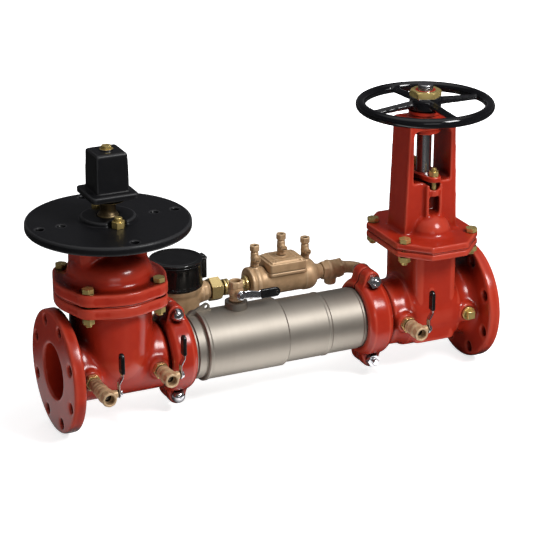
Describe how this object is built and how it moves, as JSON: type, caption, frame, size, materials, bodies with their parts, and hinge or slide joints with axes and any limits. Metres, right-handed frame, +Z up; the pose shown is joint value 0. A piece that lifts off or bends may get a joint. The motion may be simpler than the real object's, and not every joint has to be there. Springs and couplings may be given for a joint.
{
  "type": "backflow detector assembly",
  "caption": "Flanged backflow detector assembly: indicator-post gate valve, stainless check housing, rising-stem gate valve with handwheel, and a metered bypass line.",
  "frame": {"origin": "centre of the inlet flange face, on the main line", "axes": "+X along the main line from inlet to outlet, +Y to the bypass side, +Z up"},
  "size_m": [0.9123, 0.3615, 0.5573],
  "materials": {
    "cast_red": "gloss paint over cast iron",
    "black_paint": "satin black paint",
    "gloss_black": "gloss black paint",
    "brass": "yellow brass and yellow-plated steel",
    "bronze": "cast bronze, as cast and turned",
    "stainless": "satin stainless steel",
    "stem_steel": "dark machined steel",
    "zinc_plate": "bright zinc plate",
    "black_vinyl": "dipped black vinyl",
    "register_black": "gloss black plastic",
    "gate_rubber": "moulded rubber",
    "gasket_rubber": "moulded rubber"
  },
  "bodies": {
    "line": {"inlet_body": "cast_red", "inlet_bonnet": "cast_red", "outlet_body": "cast_red", "outlet_yoke": "cast_red", "gland_follower": "cast_red", "inlet_coupling_front": "cast_red", "inlet_coupling_rear": "cast_red", "outlet_coupling_front": "cast_red", "outlet_coupling_rear": "cast_red", "bonnet_gaskets": "gasket_rubber", "coupling_gaskets": "gasket_rubber", "gland_packing": "gasket_rubber", "check_seats": "bronze", "first_cock": "bronze", "second_cock": "bronze", "third_cock": "bronze", "top_cock": "bronze", "bypass_inlet": "bronze", "meter_body": "bronze", "check_body": "bronze", "check_cover": "bronze", "bypass_cocks": "bronze", "bypass_fitting": "bronze", "bypass_tube": "bronze", "stuffing_nut": "brass", "plate_studs": "brass", "gland_studs": "brass", "body_plug": "brass", "bonnet_bolts": "brass", "cock_nipples": "brass", "bypass_unions": "brass", "indicator_plate": "black_paint", "coupling_bolts": "zinc_plate", "housing_tube": "stainless", "housing_sleeve": "stainless", "meter_register": "register_black"},
    "operator": {"inlet_stem": "bronze", "operator_nut": "black_paint", "operator_bolt": "brass"},
    "inlet_gate": {"inlet_wedge": "gate_rubber", "inlet_stem_nut": "bronze"},
    "handwheel_set": {"yoke_bushing": "bronze", "handwheel": "gloss_black", "handwheel_nut": "brass"},
    "outlet_gate": {"outlet_wedge": "gate_rubber", "rising_stem": "stem_steel"},
    "first_cock_lever": {"first_lever": "zinc_plate", "first_grip": "black_vinyl"},
    "second_cock_lever": {"second_lever": "zinc_plate", "second_grip": "black_vinyl"},
    "third_cock_lever": {"third_lever": "zinc_plate", "third_grip": "black_vinyl"},
    "top_cock_lever": {"top_lever": "zinc_plate", "top_grip": "black_vinyl"},
    "first_check": {"first_clapper": "bronze"},
    "second_check": {"second_clapper": "bronze"},
    "register_lid": {"meter_lid": "register_black"},
    "bypass_stem_a": {"first_bypass_stem": "bronze"},
    "bypass_stem_b": {"second_bypass_stem": "bronze"},
    "bypass_stem_c": {"third_bypass_stem": "bronze"}
  },
  "joints": [
    {"name": "operator_turn", "type": "hinge", "parent": "line", "child": "operator", "pos_m": [0.1133, 0, 0.3], "axis": [0, 0, 1], "range_deg": [0, 5040]},
    {"name": "inlet_gate_lift", "type": "slide", "parent": "line", "child": "inlet_gate", "axis": [0, 0, 1], "range_m": [0, 0.1041]},
    {"name": "handwheel_turn", "type": "hinge", "parent": "line", "child": "handwheel_set", "pos_m": [0.7467, 0, 0.403], "axis": [0, 0, 1], "range_deg": [0, 5760]},
    {"name": "outlet_gate_lift", "type": "slide", "parent": "line", "child": "outlet_gate", "axis": [0, 0, 1], "range_m": [0, 0.1041]},
    {"name": "first_cock_turn", "type": "hinge", "parent": "line", "child": "first_cock_lever", "pos_m": [0.0483, -0.138, 0], "axis": [1, 0, 0], "range_deg": [0, 90]},
    {"name": "second_cock_turn", "type": "hinge", "parent": "line", "child": "second_cock_lever", "pos_m": [0.1783, -0.108, 0], "axis": [1, 0, 0], "range_deg": [0, 90]},
    {"name": "third_cock_turn", "type": "hinge", "parent": "line", "child": "third_cock_lever", "pos_m": [0.6817, -0.108, 0], "axis": [1, 0, 0], "range_deg": [0, 90]},
    {"name": "top_cock_turn", "type": "hinge", "parent": "line", "child": "top_cock_lever", "pos_m": [0.3598, 0, 0.094], "axis": [0, -1, 0], "range_deg": [0, 90]},
    {"name": "first_check_swing", "type": "hinge", "parent": "line", "child": "first_check", "pos_m": [0.2968, 0, 0.046], "axis": [0, -1, 0], "range_deg": [0, 60], "stiffness_Nm_per_rad": 0.3, "springref_deg": -20.05},
    {"name": "second_check_swing", "type": "hinge", "parent": "line", "child": "second_check", "pos_m": [0.4788, 0, 0.046], "axis": [0, -1, 0], "range_deg": [0, 60], "stiffness_Nm_per_rad": 0.3, "springref_deg": -20.05},
    {"name": "register_lid_swing", "type": "hinge", "parent": "line", "child": "register_lid", "pos_m": [0.3595, 0.15, 0.11205], "axis": [0, 1, 0], "range_deg": [0, 110]},
    {"name": "bypass_stem_a_turn", "type": "hinge", "parent": "line", "child": "bypass_stem_a", "pos_m": [0.46641, 0.15, 0.09], "axis": [0, 1, 0], "range_deg": [0, 90]},
    {"name": "bypass_stem_b_turn", "type": "hinge", "parent": "line", "child": "bypass_stem_b", "pos_m": [0.52241, 0.15, 0.105], "axis": [0, 1, 0], "range_deg": [0, 90]},
    {"name": "bypass_stem_c_turn", "type": "hinge", "parent": "line", "child": "bypass_stem_c", "pos_m": [0.57341, 0.15, 0.09], "axis": [0, 1, 0], "range_deg": [0, 90]}
  ],
  "couplings": [
    {"joint": "inlet_gate_lift", "follows": "operator_turn", "m_per_rad": 0.0011823},
    {"joint": "outlet_gate_lift", "follows": "handwheel_turn", "m_per_rad": 0.0010345}
  ]
}
